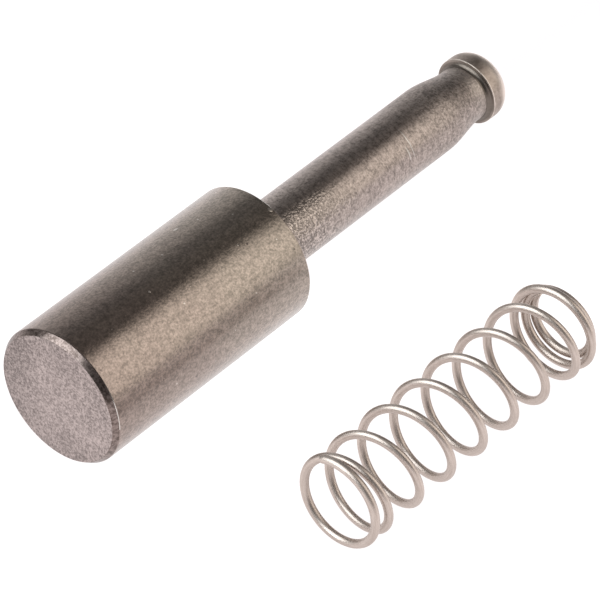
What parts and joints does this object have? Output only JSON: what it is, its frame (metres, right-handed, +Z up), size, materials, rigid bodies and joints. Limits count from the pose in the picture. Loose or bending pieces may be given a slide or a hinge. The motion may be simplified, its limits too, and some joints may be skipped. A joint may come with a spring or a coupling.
{
  "type": "quick release push pin with return spring",
  "caption": "Turned steel push pin with a long button, a slim necked shank and a domed head, and its helical return spring lying beside it.",
  "frame": {"origin": "bottom centre of the box around the pin and the spring, on the surface that both lie on", "axes": "+X along the pin from the button's flat face to the domed nose, +Y from the spring to the pin, +Z up"},
  "size_m": [0.0418, 0.0258, 0.0095],
  "materials": {
    "pin_steel": "satin, fine blasted, faint turning marks on the shank",
    "spring_wire": "satin drawn wire"
  },
  "bodies": {
    "root": {"release_pin": "pin_steel", "return_spring": "spring_wire"}
  },
  "joints": []
}
